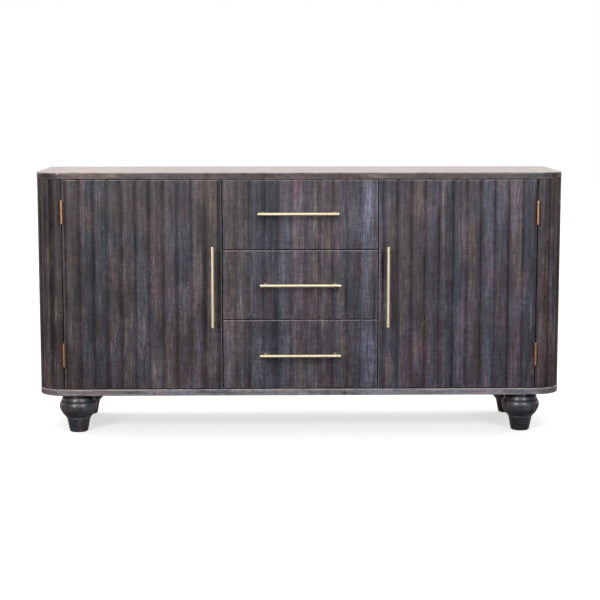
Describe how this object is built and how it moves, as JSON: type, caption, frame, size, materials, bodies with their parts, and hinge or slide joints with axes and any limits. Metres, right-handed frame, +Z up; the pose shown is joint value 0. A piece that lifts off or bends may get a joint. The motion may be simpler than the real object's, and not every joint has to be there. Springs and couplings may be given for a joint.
{
  "type": "sideboard",
  "caption": "Long low sideboard with upright reeded front and sides, rounded front corners, turned bun feet, hinged cupboard doors, central drawers and slim bar handles.",
  "frame": {"origin": "on the floor, at the centre of the footprint measured with the handles", "axes": "+X to the right along the length, +Y to the back, +Z up; the doors and drawers face -Y"},
  "size_m": [1.6, 0.4345, 0.8],
  "materials": {
    "stained_wood": "dark charcoal stain, satin lacquer, worn at the edges",
    "carcass_wood": "dark stain, matt",
    "drawer_wood": "plain unstained hardwood, matt",
    "brass": "brushed satin brass",
    "copper_brass": "aged coppery brass",
    "black_plastic": "matt black"
  },
  "bodies": {
    "carcass": {"top_board": "stained_wood", "bottom_board": "stained_wood", "back_panel": "carcass_wood", "side_left": "stained_wood", "side_right": "stained_wood", "corner_left": "stained_wood", "corner_right": "stained_wood", "partition_left": "carcass_wood", "partition_right": "carcass_wood", "shelf_left": "carcass_wood", "shelf_right": "carcass_wood", "rail_upper": "carcass_wood", "rail_lower": "carcass_wood", "foot_front_left": "stained_wood", "foot_front_right": "stained_wood", "foot_back_left": "stained_wood", "foot_back_right": "stained_wood", "catch_left": "black_plastic", "catch_right": "black_plastic", "runner_bottom_left": "drawer_wood", "runner_bottom_right": "drawer_wood", "runner_middle_left": "drawer_wood", "runner_middle_right": "drawer_wood", "runner_top_left": "drawer_wood", "runner_top_right": "drawer_wood", "hinge_left_lower_frame_leaf": "copper_brass", "hinge_left_lower_pin": "copper_brass", "hinge_left_upper_frame_leaf": "copper_brass", "hinge_left_upper_pin": "copper_brass", "hinge_right_lower_frame_leaf": "copper_brass", "hinge_right_lower_pin": "copper_brass", "hinge_right_upper_frame_leaf": "copper_brass", "hinge_right_upper_pin": "copper_brass"},
    "left_door": {"door_left": "stained_wood", "handle_door_left": "brass", "hinge_left_lower_door_leaf": "copper_brass", "hinge_left_upper_door_leaf": "copper_brass"},
    "right_door": {"door_right": "stained_wood", "handle_door_right": "brass", "hinge_right_lower_door_leaf": "copper_brass", "hinge_right_upper_door_leaf": "copper_brass"},
    "bottom_drawer": {"drawer_bottom_front": "stained_wood", "drawer_bottom_side_left": "drawer_wood", "drawer_bottom_side_right": "drawer_wood", "drawer_bottom_back": "drawer_wood", "drawer_bottom_bottom": "drawer_wood", "handle_drawer_bottom": "brass"},
    "middle_drawer": {"drawer_middle_front": "stained_wood", "drawer_middle_side_left": "drawer_wood", "drawer_middle_side_right": "drawer_wood", "drawer_middle_back": "drawer_wood", "drawer_middle_bottom": "drawer_wood", "handle_drawer_middle": "brass"},
    "top_drawer": {"drawer_top_front": "stained_wood", "drawer_top_side_left": "drawer_wood", "drawer_top_side_right": "drawer_wood", "drawer_top_back": "drawer_wood", "drawer_top_bottom": "drawer_wood", "handle_drawer_top": "brass"}
  },
  "joints": [
    {"name": "left_door_hinge", "type": "hinge", "parent": "carcass", "child": "left_door", "pos_m": [-0.7185, -0.18475, 0.1425], "axis": [0, 0, -1], "range_deg": [0, 170]},
    {"name": "right_door_hinge", "type": "hinge", "parent": "carcass", "child": "right_door", "pos_m": [0.7185, -0.18475, 0.1425], "axis": [0, 0, 1], "range_deg": [0, 170]},
    {"name": "bottom_drawer_slide", "type": "slide", "parent": "carcass", "child": "bottom_drawer", "axis": [0, -1, 0], "range_m": [0, 0.27]},
    {"name": "middle_drawer_slide", "type": "slide", "parent": "carcass", "child": "middle_drawer", "axis": [0, -1, 0], "range_m": [0, 0.27]},
    {"name": "top_drawer_slide", "type": "slide", "parent": "carcass", "child": "top_drawer", "axis": [0, -1, 0], "range_m": [0, 0.27]}
  ]
}
